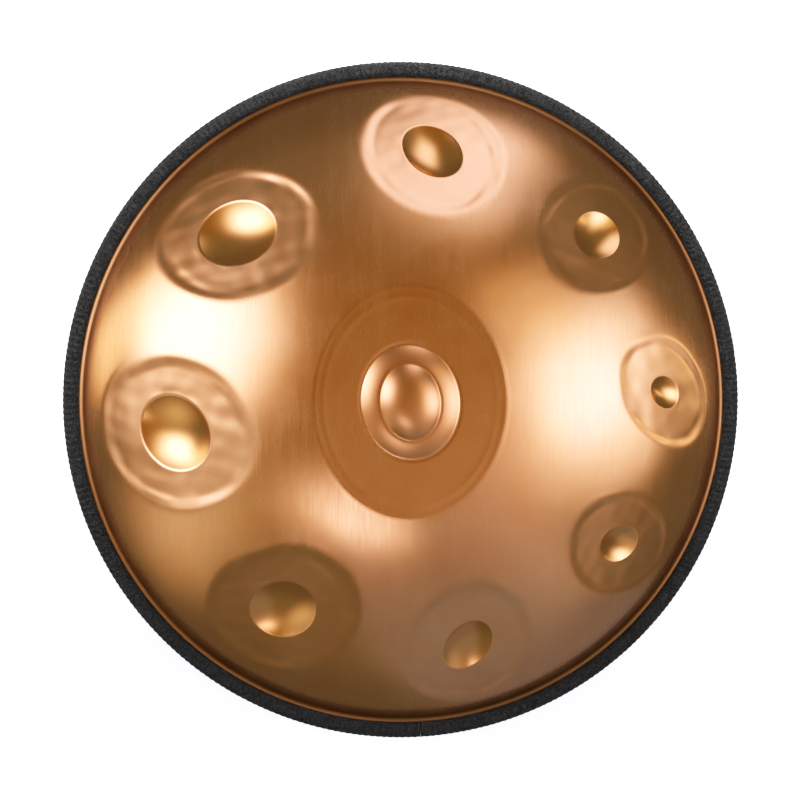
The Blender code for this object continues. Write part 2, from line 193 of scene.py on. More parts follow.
# Edge trim
TRIM_LIP_RADIUS = 0.2668
TRIM_LIP_THICKNESS = 0.0007
TRIM_LIP_REACH = 0.0042
TRIM_CORNER = 0.004
TRIM_CORNER_REACH = 0.0055
TRIM_LIP_STEPS = 8
TRIM_JOINT_BEARING = -87.0
TRIM_JOINT_WIDTH = 0.0004
CORE_THICKNESS = 0.0006
CORE_CORNER = 0.0027
CORE_LIP_RADIUS = 0.2710
RIB_COUNT = 344
RIB_STEPS = 6
RIB_DEPTH = 0.0004
RIB_FADE = 0.003

# Colors
BRONZE_PALE = (0.98, 0.475, 0.25, 1.0)
BRONZE_DEEP = (0.95, 0.435, 0.212, 1.0)
BRONZE_STAIN = (0.72, 0.30, 0.12, 1.0)
# Painted shade: the dark color the dome's foot takes on in the crease next to the trim
BRONZE_FOOT_SHADE = (0.46, 0.24, 0.10, 1.0)
BRONZE_GOLD = (0.94, 0.44, 0.15, 1.0)
RUBBER_BLACK = (0.0035, 0.0035, 0.0033, 1.0)
RUBBER_SHINE = (1.0, 0.97, 0.91, 1.0)
RUBBER_DUSTY = (0.036, 0.036, 0.035, 1.0)
CORE_DARK = (0.42, 0.42, 0.43, 1.0)
CORE_PALE = (0.60, 0.60, 0.61, 1.0)
GLUE_DARK = (0.22, 0.19, 0.13, 1.0)
GLUE_PALE = (0.36, 0.32, 0.24, 1.0)
FLOOR_DARK = (0.86, 0.86, 0.86, 1.0)
FLOOR_PALE = (0.90, 0.90, 0.90, 1.0)

# Bronze finish: how much of a color each zone takes on, and how rough each is
BORDER_STAIN = 0.25
RING_STAIN = 0.12
GRAIN_STAIN = 0.10
DIMPLE_GOLD = 0.55
DING_STAIN = 0.45
# How much painted shade the dome's foot takes on next to the trim
FOOT_PAINTED_SHADE = 0.85
FIELD_BRUSHING = 0.15
BODY_ROUGHNESS = (0.23, 0.28)
STREAK_ROUGHNESS = 0.015
GRAIN_ROUGHNESS = 0.02
DING_ROUGHNESS = 0.07
FOOT_ROUGHNESS = 0.20
GRAIN_BUMP = 0.0000015
HOLLOWS_BUMP = 0.00005

# Rubber, core and glue finishes
RUBBER_ROUGHNESS = (0.5, 0.62)
RUBBER_BUMP = 0.0005
CORE_ROUGHNESS = (0.32, 0.48)
CORE_BUMP = 0.00003
GLUE_ROUGHNESS = (0.35, 0.55)
GLUE_BUMP = 0.0001

# Camera: how far it stands off the vertical towards -X and +Y, and where it aims beside the axis
CAMERA_DISTANCE = 1.56
CAMERA_TILT = (2.66, 0.72)
CAMERA_AIM = (-0.0026, 0.0002)
CAMERA_LENS = 84.77
SENSOR_WIDTH = 36.0


def arc(center_r, center_z, radius, start, end, steps):
    """Points of an arc in the (radius, z) half plane, from one angle in degrees to another."""
    angles = np.radians(np.linspace(start, end, steps + 1))
    ring = np.stack([center_r + radius * np.cos(angles), center_z + radius * np.sin(angles)], 1)
    return [tuple(point) for point in ring]


def dome_drop(radius):
    """How far the smooth dome's outer skin lies below its crown at distances from the axis."""
    crown = CROWN_RADIUS - np.sqrt(np.maximum(CROWN_RADIUS ** 2 - radius ** 2, 0.0))
    inside = np.maximum(SHOULDER_RADIUS ** 2 - (radius - SHOULDER_AXIS) ** 2, 0.0)
    shoulder = SHOULDER_DEPTH - np.sqrt(inside)
    fillet = np.maximum(FOOT_FILLET ** 2 - (FLANGE_START - radius) ** 2, 0.0)
    foot = DOME_HEIGHT - FOOT_FILLET + np.sqrt(fillet)
    zones = [radius <= SHOULDER_START, radius <= DOME_EDGE, radius <= FLANGE_START]
    return np.select(zones, [crown, shoulder, foot], DOME_HEIGHT)


def on_dome(plan):
    """Points of the upper shell's smooth dome over plan positions."""
    height = UPPER_FLANGE_Z + DOME_HEIGHT - dome_drop(np.hypot(plan[:, 0], plan[:, 1]))
    return np.column_stack([plan, height])


def ramp(value, softness):
    """The value where it is positive and zero elsewhere, with the corner rounded."""
    corner = (np.clip(value, -softness, softness) + softness) ** 2 / (4.0 * softness)
    return np.where(value >= softness, value, corner)


def smooth_step(share):
    """An S curve from 0 to 1."""
    share = np.clip(share, 0.0, 1.0)
    return share * share * (3.0 - 2.0 * share)


def band(value, middle, half_width):
    """A bell that is 1 at the middle and falls away to both sides."""
    return np.exp(-(((value - middle) / half_width) ** 2))


def waves(points, kind, index=0):
    """Smooth random heights of one kind, mostly within twice its height. Each index differs."""
    draw = np.random.default_rng(kind.seed + index)
    heading = draw.normal(size=(WAVE_COUNT, 3))
    heading /= np.linalg.norm(heading, axis=1)[:, None]
    pace = math.tau / (kind.length * draw.uniform(0.75, 1.6, WAVE_COUNT))
    phase = draw.uniform(0.0, math.tau, WAVE_COUNT)
    swell = np.sin(points @ (heading * pace[:, None]).T + phase)
    return kind.height * swell.sum(axis=1) / math.sqrt(WAVE_COUNT / 2)


class Oval:
    """An ellipse that lies in the dome's tangent plane at a plan position."""

    def __init__(self, bearing, radius, length, width, heading):
        turn = math.radians(bearing)
        out = np.array([math.cos(turn), math.sin(turn), 0.0])
        sine = (radius - SHOULDER_AXIS) / SHOULDER_RADIUS
        if radius <= SHOULDER_START:
            sine = radius / CROWN_RADIUS
        self.normal = out * sine + np.array([0.0, 0.0, math.sqrt(1.0 - sine ** 2)])
        self.center = on_dome(radius * out[None, :2])[0]
        ahead = np.array([math.cos(math.radians(heading)), math.sin(math.radians(heading)), 0.0])
        ahead -= self.normal * ahead.dot(self.normal)
        self.along = ahead / np.linalg.norm(ahead)
        self.across = np.cross(self.normal, self.along)
        self.length = length
        self.width = width

    def reach(self, points):
        """Distance of points from the center, where 1 is on the oval's edge."""
        offset = points - self.center
        return np.hypot(offset @ self.along / self.length, offset @ self.across / self.width)

    def round_ring(self, points, stretch):
        """Places for noise whose waves are longer round the oval than across it, by stretch."""
        offset = points - self.center
        a = offset @ self.along / self.length
        b = offset @ self.across / self.width
        reach = np.maximum(np.hypot(a, b), 1e-6)
        size = (self.length + self.width) / 2.0
        return size * np.column_stack([a / reach / stretch, b / reach / stretch, reach])

    def drop_onto_dome(self, points):
        """Plan positions of points slid along the oval's normal until they are on the dome."""
        for _ in range(DROP_STEPS):
            gap = points[:, 2] - on_dome(points[:, :2])[:, 2]
            points = points - gap[:, None] * self.normal[2] * self.normal
        return points[:, :2]

    def ring(self, scale, count):
        """Plan positions round the oval, at a multiple of its size."""
        angle = math.tau * np.arange(count)[:, None] / count
        points = self.center + scale * self.length * np.cos(angle) * self.along
        return self.drop_onto_dome(points + scale * self.width * np.sin(angle) * self.across)

    def rings(self, outer, inner, ring_count, count):
        """Plan positions of rings at even scales from outer to inner."""
        return np.vstack([self.ring(s, count) for s in np.linspace(outer, inner, ring_count)])

    def fill(self, spacing):
        """Plan positions of a staggered grid over the oval."""
        steps_a = int(self.length / spacing) + 1
        steps_b = int(self.width / spacing) + 1
        grid = [
            ((i + 0.5 * (j % 2)) * spacing, j * spacing * ROW_PITCH)
            for j in range(-steps_b - 2, steps_b + 3)
            for i in range(-steps_a, steps_a + 1)
        ]
        grid = np.array(grid)
        points = self.center + grid[:, :1] * self.along + grid[:, 1:] * self.across
        return self.drop_onto_dome(points[self.reach(points) < 1.0])


def field_oval(field):
    """The flattened oval of a tone field."""
    return Oval(field.bearing, field.radius, field.length, field.width, field.heading)


def dimple_oval(field):
    """The dimple's oval in the middle of a tone field."""
    size = (field.dimple_length, field.dimple_width, field.dimple_heading)
    return Oval(field.bearing, field.radius, *size)


FIELD_OVALS = [(field_oval(field), dimple_oval(field)) for field in TONE_FIELDS]
DING_OVAL = Oval(0.0, 0.0, DING_FIELD_LENGTH, DING_FIELD_WIDTH, DING_FIELD_HEADING)
STEP_OVALS = [Oval(0.0, 0.0, step.length, step.width, DING_HEADING) for step in DING_STEPS]


def field_move(points, index):
    """How one tone field and its dimple move points of the dome, with the hammer's marks."""
    oval, dimple = FIELD_OVALS[index]
    reach = oval.reach(points)
    flat_depth = FIELD_FLATNESS * oval.length * oval.width / (2.0 * CROWN_RADIUS)
    dimple_depth = DIMPLE_DEPTH_RATIO * (dimple.length + dimple.width) / 2.0
    inward = flat_depth * ramp(1.0 - reach ** 2, FIELD_SOFTNESS)
    inward += BORDER_DEPTH * smooth_step((1.0 - reach) / BORDER_WIDTH)
    inward += dimple_depth * ramp(1.0 - dimple.reach(points) ** 2, DIMPLE_SOFTNESS)
    dents = waves(oval.round_ring(points, BORDER_STRETCH), BORDER_WAVES, index)
    inward += dents * band(reach, *BORDER_MARKS)
    face = smooth_step((FACE_MARKS_EDGE - reach) / FACE_MARKS_FADE)
    face *= smooth_step((dimple.reach(points) - 1.0) / DIMPLE_MARKS_FADE)
    inward += waves(points, FACE_WAVES, index) * face
    return -inward[:, None] * oval.normal


def ding_rise(points):
    """How far the ding raises or lowers points of the dome."""
    reach = DING_OVAL.reach(points)
    rise = -DING_FIELD_DEPTH * ramp(1.0 - reach ** 2, FIELD_SOFTNESS)
    dents = waves(DING_OVAL.round_ring(points, BORDER_STRETCH), DING_WAVES)
    rise += dents * band(reach, *DING_MARKS)
    for place, ridge in DING_RIDGES:
        rise += ridge * band((reach - place) * DING_OVAL.width, 0.0, DING_RIDGE_HALF_WIDTH)
    for oval, step in zip(STEP_OVALS, DING_STEPS):
        step_reach = oval.reach(points)
        rise += step.height * ramp(1.0 - step_reach ** step.exponent, DIMPLE_SOFTNESS)
        off_trench = (step_reach - TRENCH_REACH) * oval.width
        rise -= TRENCH_DEPTH * band(off_trench, 0.0, TRENCH_HALF_WIDTH)
    return rise


def skin(plan):
    """Points of the finished upper skin over plan positions of the smooth dome."""
    points = on_dome(plan)
    moved = points.copy()
    for index in range(len(FIELD_OVALS)):
        moved += field_move(points, index)
    moved[:, 2] += ding_rise(points)
    radius = np.hypot(plan[:, 0], plan[:, 1])
    inland = smooth_step((DOME_EDGE - radius) / BODY_MARKS_FADE_OUT)
    inland *= smooth_step((radius - BODY_MARKS_START) / BODY_MARKS_FADE_IN)
    moved[:, 2] += waves(points, BODY_WAVES) * inland
    return moved


def skin_normals(plan):
    """Outward normals of the finished upper skin."""
    east = np.array([SLOPE_STEP, 0.0])
    north = np.array([0.0, SLOPE_STEP])
    normals = np.cross(skin(plan + east) - skin(plan - east), skin(plan + north) - skin(plan - north))
    return normals / np.linalg.norm(normals, axis=1)[:, None]


def circle(radius, count):
    """Plan positions evenly round the axis."""
    angles = math.tau * np.arange(count) / count
    return radius * np.stack([np.cos(angles), np.sin(angles)], 1)


def open_ground(plan, field_reach, ding_reach):
    """The plan positions that are clear of every field and of the ding."""
    points = on_dome(plan)
    free = DING_OVAL.reach(points) > ding_reach
    for oval, _ in FIELD_OVALS:
        free &= oval.reach(points) > field_reach
    return plan[free]


def dome_rings(spacing):
    """Plan positions on rings over the dome, about one spacing apart."""
    radii = np.arange(DOME_EDGE - spacing, spacing, -spacing)
    return np.vstack([circle(radius, round(math.tau * radius / spacing)) for radius in radii])


def foot_rings(steps):
    """Plan positions of the rings over the foot fillet and the flange; the first is its edge."""
    radii = [FLANGE_RADIUS, (FLANGE_RADIUS + FLANGE_START) / 2]
    slope = np.linspace(0.0, math.asin(FOOT_SINE), steps)
    radii += list(FLANGE_START - FOOT_FILLET * np.sin(slope))
    return np.vstack([circle(radius, RIM_COUNT) for radius in radii])


def field_spots(oval, dimple):
    """Plan positions over one tone field, dense at its crease and at its dimple's rim."""
    face = oval.fill(FACE_SPACING)
    points = on_dome(face)
    face = face[(oval.reach(points) < 0.73) & (dimple.reach(points) > 1.22)]
    spots = [face, oval.rings(*CREASE_RINGS)]
    spots.append(dimple.rings(*DIMPLE_RIM_RINGS))
    spots.append(dimple.rings(*DIMPLE_BOWL_RINGS))
    spots.append(dimple.rings(*DIMPLE_MIDDLE_RINGS))
    spots.append(dimple.center[None, :2])
    return np.vstack(spots)


def ding_spots():
    """Plan positions over the ding, dense at the edges of its field and of both steps."""
    face = DING_OVAL.fill(FACE_SPACING)
    face = face[(DING_OVAL.reach(on_dome(face)) < 0.86) & (STEP_OVALS[0].reach(on_dome(face)) > 1.2)]
    spots = [face, DING_OVAL.rings(*DING_EDGE_RINGS)]
    spots += [oval.rings(*rings) for oval, rings in zip(STEP_OVALS, STEP_RINGS)]
    spots.append(STEP_OVALS[1].rings(*DING_TOP_RINGS))
    spots.append(np.zeros((1, 2)))
    return np.vstack(spots)


def outer_spots():
    """Plan positions for the mesh of the outer skin. The flange's edge comes first."""
    spots = [foot_rings(9), open_ground(dome_rings(BODY_SPACING), 1.21, 1.14), ding_spots()]
    spots += [field_spots(oval, dimple) for oval, dimple in FIELD_OVALS]
    return np.vstack(spots)


def inner_spots():
    """Plan positions for the mesh of the inner skin. The flange's edge comes first."""
    spots = [foot_rings(4), open_ground(dome_rings(INNER_SPACING), 1.15, 1.12)]
    spots.append(DING_OVAL.rings(*INNER_DING_RINGS))
    spots += [oval.rings(*INNER_STEP_RINGS) for oval in STEP_OVALS]
    spots.append(STEP_OVALS[1].rings(*INNER_TOP_RINGS))
    for oval, dimple in FIELD_OVALS:
        face = oval.fill(INNER_FACE_SPACING)
        points = on_dome(face)
        face = face[(oval.reach(points) < 0.75) & (dimple.reach(points) > 1.2)]
        spots += [face, oval.rings(*INNER_CREASE_RINGS), dimple.rings(*INNER_DIMPLE_RINGS)]
        spots.append(dimple.rings(*INNER_BOWL_RINGS))
    return np.vstack(spots)


def triangulate(spots):
    """Triangles over plan positions, which keep their order."""
    flat = [Vector(spot) for spot in spots]
    plan, _, triangles, _, _, _ = delaunay_2d_cdt(flat, [], [], 0, 1e-7)
    return np.array([tuple(spot) for spot in plan]), np.array(triangles)


def new_mesh(name, points, faces, loop_normals):
    """A smooth mesh with a normal of its own at each face corner."""
    mesh = bpy.data.meshes.new(name)
    mesh.from_pydata(points.tolist(), [], faces)
    mesh.shade_smooth()
    mesh.normals_split_custom_set(loop_normals.tolist())
    return mesh


def new_piece(name, mesh, material):
    """An object in the scene with one material."""
    item = bpy.data.objects.new(name, mesh)
    bpy.context.scene.collection.objects.link(item)
    mesh.materials.append(material)
    return item


def set_attribute(mesh, name, values):
    """Store a number for each vertex, for the material to read."""
    layer = mesh.attributes.new(name, "FLOAT", "POINT")
    layer.data.foreach_set("value", np.ascontiguousarray(values, np.float32))


def zone_over(oval, points):
    """1 inside an oval and 0 outside it, with a soft edge."""
    return smooth_step((ZONE_EDGE - oval.reach(points)) / ZONE_FADE)


def mark_zones(mesh, plan):
    """Store where the zones of the finish are on the outer skin; the inner skin has none."""
    points = on_dome(plan)
    radius = np.hypot(plan[:, 0], plan[:, 1])
    ding = zone_over(STEP_OVALS[0], points)
    borders = [band(oval.reach(points), *BORDER_STAIN_BAND) for oval, _ in FIELD_OVALS]
    zones = {
        "field": np.max([ding] + [zone_over(oval, points) for oval, _ in FIELD_OVALS], axis=0),
        "border": np.max(borders, axis=0),
        "dimple": np.max([zone_over(dimple, points) for _, dimple in FIELD_OVALS], axis=0),
        "ding_ring": band(DING_OVAL.reach(points), *RING_STAIN_BAND),
        "ding": ding,
        "foot": smooth_step((radius - FOOT_DULL_START) / FOOT_DULL_REACH),
    }
    spare = np.zeros(len(mesh.vertices) - len(plan))
    for name, zone in zones.items():
        set_attribute(mesh, name, np.concatenate([zone, spare]))


def add_top_shell(material):
    """The ding shell: outer skin, inner skin one sheet below it, and the flange's edge."""
    plan, outer_faces = triangulate(outer_spots())
    inner_plan, inner_faces = triangulate(inner_spots())
    outer_normals = skin_normals(plan)
    inner_normals = skin_normals(inner_plan)
    inner_points = skin(inner_plan) - STEEL * inner_normals
    first = len(plan)
    step = np.arange(RIM_COUNT)
    following = (step + 1) % RIM_COUNT
    edge_faces = np.stack([step, first + step, first + following, following], 1)
    out = np.column_stack([circle(1.0, RIM_COUNT), np.zeros(RIM_COUNT)])
    corner_out = out[np.stack([step, step, following, following], 1).ravel()]
    normals = [outer_normals[outer_faces.ravel()]]
    normals += [-inner_normals[inner_faces[:, ::-1].ravel()], corner_out]
    faces = outer_faces.tolist() + (first + inner_faces[:, ::-1]).tolist() + edge_faces.tolist()
    points = np.vstack([skin(plan), inner_points])
    mesh = new_mesh("ding_shell", points, faces, np.vstack(normals))
    mark_zones(mesh, plan)
    item = new_piece("ding_shell", mesh, material)
    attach(item, "root")
    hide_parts("top_shell")


def revolve(name, outlines, count, start, sweep, reshape=None):
    """Turn closed (radius, z) outlines round the axis. A part turn gets an end face at both ends."""
    whole = abs(sweep - 360.0) < 1e-6
    columns = count if whole else count + 1
    angles = np.radians(start + sweep * np.arange(columns) / count)
    points = []
    faces = []
    for outline in outlines:
        ring = np.array(outline)
        first = sum(len(block) for block in points)
        radius = np.repeat(ring[None, :, 0], columns, 0)
        height = np.repeat(ring[None, :, 1], columns, 0)
        if reshape is not None:
            radius, height = reshape(outline, angles, radius, height)
        turn = angles[:, None]
        block = np.stack([radius * np.cos(turn), radius * np.sin(turn), height], -1)
        points.append(block.reshape(-1, 3))
        size = len(ring)
        a = np.arange(count)[:, None] * size
        b = ((np.arange(count) + 1) % columns)[:, None] * size
        i = np.arange(size)[None, :]
        j = (i + 1) % size
        quads = np.stack([a + i, b + i, b + j, a + j], -1).reshape(-1, 4) + first
        faces += quads.tolist()
    if not whole:
        sections = [[Vector((r, z, 0.0)) for r, z in outline] for outline in outlines]
        sizes = [len(outline) for outline in outlines]
        starts = [sum(sizes[:k]) * columns for k in range(len(sizes))]
        index = []
        for k, size in enumerate(sizes):
            index += [(starts[k] + n, starts[k] + (columns - 1) * size + n) for n in range(size)]
        for tri in tessellate_polygon(sections):
            faces.append([index[n][0] for n in tri])
            faces.append([index[n][1] for n in reversed(tri)])
    mesh = bpy.data.meshes.new(name)
    mesh.from_pydata(np.vstack(points).tolist(), [], faces)
    mesh.update()
    return mesh


def lower_outline():
    """Closed section of the lower shell: its outer skin, then its inner skin back again."""
    foot = math.degrees(math.asin(FOOT_SINE))
    shoulder = math.degrees(math.asin(SHOULDER_SINE))
    land = math.degrees(math.asin(LAND_OUTER / CROWN_RADIUS))
    fillet_z = LOWER_FLANGE_Z - FOOT_FILLET
    shoulder_z = LOWER_FLANGE_Z - DOME_HEIGHT + SHOULDER_DEPTH
    crown_z = LOWER_FLANGE_Z - DOME_HEIGHT + CROWN_RADIUS
    outline = []
    for side in (0.0, STEEL):
        skin_points = [(FLANGE_RADIUS, LOWER_FLANGE_Z + side)]
        fillet = FOOT_FILLET + side
        skin_points += arc(FLANGE_START, fillet_z, fillet, 90.0, 90.0 + foot, LOWER_FILLET_STEPS)
        radius = SHOULDER_RADIUS - side
        turn = (foot - 90.0, shoulder - 90.0)
        skin_points += arc(SHOULDER_AXIS, shoulder_z, radius, *turn, LOWER_ARC_STEPS)[1:]
        radius = CROWN_RADIUS - side
        turn = (shoulder - 90.0, land - 90.0)
        skin_points += arc(0.0, crown_z, radius, *turn, LOWER_ARC_STEPS)[1:]
        roll = NECK_ROLL - side
        skin_points += arc(LAND_INNER, NECK_ROLL, roll, -90.0, -180.0, LOWER_FILLET_STEPS)
        skin_points.append((LAND_INNER - NECK_ROLL + side, NECK_LENGTH))
        outline += skin_points if side == 0.0 else skin_points[::-1]
    return outline


def shade_round(mesh, degrees):
    """Shade smooth, with edges over an angle kept sharp."""
    mesh.shade_smooth()
    mesh.set_sharp_from_angle(angle=math.radians(degrees))


def add_bottom_shell(material):
    """The gu shell: the same dome turned over, with the port and its neck."""
    mesh = revolve("gu_shell", [lower_outline()], LOWER_COUNT, 0.0, 360.0)
    shade_round(mesh, LOWER_SHARP_ANGLE)
    item = new_piece("gu_shell", mesh, material)
    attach(item, "root")
    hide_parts("bottom_shell")


def trim_shoulder(side, start, end):
    """The trim's rounded outer edge above (1) or below (-1) its middle, wider than it is high."""
    corner_z = side * (TRIM_HALF_HEIGHT - TRIM_CORNER)
    quarter = arc(0.0, corner_z, TRIM_CORNER, start, end, 8)
    stretch = TRIM_CORNER_REACH / TRIM_CORNER
    corner_r = TRIM_RADIUS - TRIM_CORNER_REACH
    return [(corner_r + radius * stretch, height) for radius, height in quarter]


def trim_lip(side):
    """The trim's face above (1) or below (-1) its middle, from the thin lip up to full height."""
    lip_z = UPPER_FLANGE_Z - RIM_Z + FIT_GAP + TRIM_LIP_THICKNESS
    share = np.arange(TRIM_LIP_STEPS + 1) / TRIM_LIP_STEPS
    height = lip_z + (TRIM_HALF_HEIGHT - lip_z) * np.sin(share * math.pi / 2)
    return list(zip(TRIM_LIP_RADIUS + TRIM_LIP_REACH * share, side * height))


def trim_outline():
    """Closed section of the trim's rubber, counter-clockwise from the upper lip."""
    slot_r = FLANGE_RADIUS + FIT_GAP
    slot_z = UPPER_FLANGE_Z - RIM_Z + FIT_GAP
    points = [(TRIM_LIP_RADIUS, slot_z), (slot_r, slot_z), (slot_r, -slot_z)]
    points.append((TRIM_LIP_RADIUS, -slot_z))
    points += trim_lip(-1)
    points += trim_shoulder(-1, -90.0, 0.0)
    points += trim_shoulder(1, 0.0, 90.0)
    points += trim_lip(1)[::-1]
    return [(radius, RIM_Z + height) for radius, height in points]


def channel_outline():
    """Closed section of the space that the steel core lies in, clockwise."""
    reach = CORE_BOX[1].x - CORE_THICKNESS / 2
    half = (CORE_BOX[1].z - CORE_BOX[0].z) / 2 - CORE_THICKNESS / 2
    corner_r = reach - CORE_CORNER
    corner_z = half - CORE_CORNER
    room = CORE_THICKNESS / 2 + FIT_GAP
    lip = CORE_LIP_RADIUS - FIT_GAP
    points = [(lip, half + room)]
    points += arc(corner_r, corner_z, CORE_CORNER + room, 90.0, 0.0, 4)
    points += arc(corner_r, -corner_z, CORE_CORNER + room, 0.0, -90.0, 4)
    points += [(lip, -half - room), (lip, -half + room)]
    points += arc(corner_r, -corner_z, CORE_CORNER - room, -90.0, 0.0, 4)
    points += arc(corner_r, corner_z, CORE_CORNER - room, 0.0, 90.0, 4)
    points.append((lip, half - room))
    return [(radius, RIM_Z + height) for radius, height in points]


def ribbed(outline, angles, radius, height):
    """Sink the outside of the trim between the fingers of its core."""
    if len(outline) != len(trim_outline()):
        return radius, height
    wave = 0.5 - 0.5 * np.cos(RIB_COUNT * (angles - angles[0]))
    slack = smooth_step((radius - TRIM_LIP_RADIUS) / RIB_FADE)
    outside = (np.abs(height - RIM_Z) > CORE_CORNER) | (radius > FLANGE_RADIUS + 2 * FIT_GAP)
    depth = RIB_DEPTH * wave[:, None] * slack * outside
    shoulder = (radius - (TRIM_RADIUS - TRIM_CORNER_REACH)) / TRIM_CORNER_REACH
    away_r = np.clip(shoulder, 0.0, 1.0)
    away_z = np.sqrt(1.0 - away_r ** 2) * np.sign(height - RIM_Z)
    return radius - depth * away_r, height - depth * away_z


def add_rim_trim(material):
    """The rubber of the edge trim: soft ribs over the core's fingers, and one butt joint."""
    joint = math.degrees(TRIM_JOINT_WIDTH / TRIM_RADIUS)
    start = TRIM_JOINT_BEARING + joint / 2
    outlines = [trim_outline(), channel_outline()]
    mesh = revolve("trim_rubber", outlines, RIB_COUNT * RIB_STEPS, start, 360.0 - joint, ribbed)
    shade_round(mesh, TRIM_SHARP_ANGLE)
    item = new_piece("trim_rubber", mesh, material)
    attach(item, "root")
    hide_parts("rim_trim")


class Shader:
    """A material's node tree, with short calls that add nodes and link them."""

    def __init__(self, name):
        self.material = bpy.data.materials.new(name)
        self.material.use_nodes = True
        self.tree = self.material.node_tree
        self.surface = self.tree.nodes["Principled BSDF"]
        place = self.tree.nodes.new("ShaderNodeTexCoord")
        self.place = place.outputs["Object"]
        self.across_box = place.outputs["Generated"]

    def feed(self, socket, value):
        """Link an output to a socket, or set the socket to a plain value."""
        if isinstance(value, bpy.types.NodeSocket):
            self.tree.links.new(value, socket)
        else:
            socket.default_value = value

    def stretch(self, scale):
        """Object coordinates scaled along each axis."""
        node = self.tree.nodes.new("ShaderNodeMapping")
        node.inputs["Scale"].default_value = scale
        self.tree.links.new(self.place, node.inputs["Vector"])
        return node.outputs["Vector"]

    def noise(self, scale, detail=3.0, roughness=0.5, distortion=0.0):
        """Noise from 0 to 1, whose scale may differ along each axis."""
        node = self.tree.nodes.new("ShaderNodeTexNoise")
        node.inputs["Scale"].default_value = 1.0
        node.inputs["Detail"].default_value = detail
        node.inputs["Roughness"].default_value = roughness
        node.inputs["Distortion"].default_value = distortion
        self.tree.links.new(self.stretch(scale), node.inputs["Vector"])
        return node.outputs["Fac"]

    def span(self, value, low, high, new_low=0.0, new_high=1.0, curve="LINEAR"):
        """Map a range onto another, clamped."""
        node = self.tree.nodes.new("ShaderNodeMapRange")
        node.interpolation_type = curve
        self.feed(node.inputs["Value"], value)
        node.inputs["From Min"].default_value = low
        node.inputs["From Max"].default_value = high
        node.inputs["To Min"].default_value = new_low
        node.inputs["To Max"].default_value = new_high
        return node.outputs["Result"]

    def math(self, operation, a, b=0.0):
        """A Math node."""
        node = self.tree.nodes.new("ShaderNodeMath")
        node.operation = operation
        self.feed(node.inputs[0], a)
        self.feed(node.inputs[1], b)
        return node.outputs["Value"]

    def mix(self, share, a, b):
        """Blend two colors. A Mix node's sockets share their names, so they go by number."""
        node = self.tree.nodes.new("ShaderNodeMix")
        node.data_type = "RGBA"
        self.feed(node.inputs[0], share)
        self.feed(node.inputs[6], a)
        self.feed(node.inputs[7], b)
        return node.outputs[2]

    def attribute(self, name):
        """A number stored in the mesh."""
        node = self.tree.nodes.new("ShaderNodeAttribute")
        node.attribute_name = name
        return node.outputs["Fac"]

    def bump(self, height, distance, base=None):
        """A Bump node on top of another, if there is one."""
        node = self.tree.nodes.new("ShaderNodeBump")
        node.inputs["Distance"].default_value = distance
        self.tree.links.new(height, node.inputs["Height"])
        if base:
            self.tree.links.new(base, node.inputs["Normal"])
        return node.outputs["Normal"]

    def tinted(self, name, amount, color, tint):
        """Blend a tint into a color in one of the mesh's zones."""
        return self.mix(self.math("MULTIPLY", self.attribute(name), amount), color, tint)

    def plus(self, total, value, amount):
        """Add a share of a value to a total."""
        return self.math("ADD", total, self.math("MULTIPLY", value, amount))

    def set(self, name, value):
        """Feed a socket of the surface."""
        self.feed(self.surface.inputs[name], value)


def bronze_material():
    """Bronze-tinted steel: brush lines and clouds on the body, hammered fields, and painted shade
    darkening the foot next to the trim.
    """
    shader = Shader("bronze_steel_surface")
    clouds = shader.noise((14.0, 14.0, 14.0), 4.0, 0.55, 0.6)
    blotches = shader.noise((60.0, 60.0, 60.0), 4.0, 0.6, 0.4)
    grain = shader.noise((650.0, 40.0, 90.0), 1.0)
    streaks = shader.noise((160.0, 6.0, 12.0))
    hollows = shader.noise((60.0, 60.0, 60.0), 1.0)
    brushed = shader.span(shader.attribute("field"), 0.0, 1.0, 1.0, FIELD_BRUSHING)
    grain = shader.math("MULTIPLY", shader.span(grain, 0.25, 0.75, -1.0, 1.0), brushed)
    streaks = shader.math("MULTIPLY", shader.span(streaks, 0.3, 0.7, -1.0, 1.0), brushed)
    color = shader.mix(shader.span(clouds, 0.35, 0.65), BRONZE_DEEP, BRONZE_PALE)
    border = shader.math("MULTIPLY", shader.attribute("border"), shader.span(blotches, 0.3, 0.7))
    color = shader.mix(shader.math("MULTIPLY", border, BORDER_STAIN), color, BRONZE_STAIN)
    color = shader.tinted("ding_ring", RING_STAIN, color, BRONZE_STAIN)
    color = shader.mix(shader.span(grain, -1.0, 1.0, 0.0, GRAIN_STAIN), color, BRONZE_STAIN)
    color = shader.tinted("dimple", DIMPLE_GOLD, color, BRONZE_GOLD)
    color = shader.tinted("ding", DING_STAIN, color, BRONZE_STAIN)
    # Painted shade: the foot darkens where the dome meets the trim's lip
    color = shader.tinted("foot", FOOT_PAINTED_SHADE, color, BRONZE_FOOT_SHADE)
    rough = shader.span(clouds, 0.3, 0.7, *BODY_ROUGHNESS)
    rough = shader.plus(rough, streaks, STREAK_ROUGHNESS)
    rough = shader.plus(rough, grain, GRAIN_ROUGHNESS)
    rough = shader.plus(rough, shader.attribute("ding"), DING_ROUGHNESS)
    rough = shader.plus(rough, shader.attribute("foot"), FOOT_ROUGHNESS)
    shader.set("Base Color", color)
    shader.set("Metallic", 1.0)
    shader.set("Roughness", rough)
    shader.set("Normal", shader.bump(hollows, HOLLOWS_BUMP, shader.bump(grain, GRAIN_BUMP)))
    return shader.material


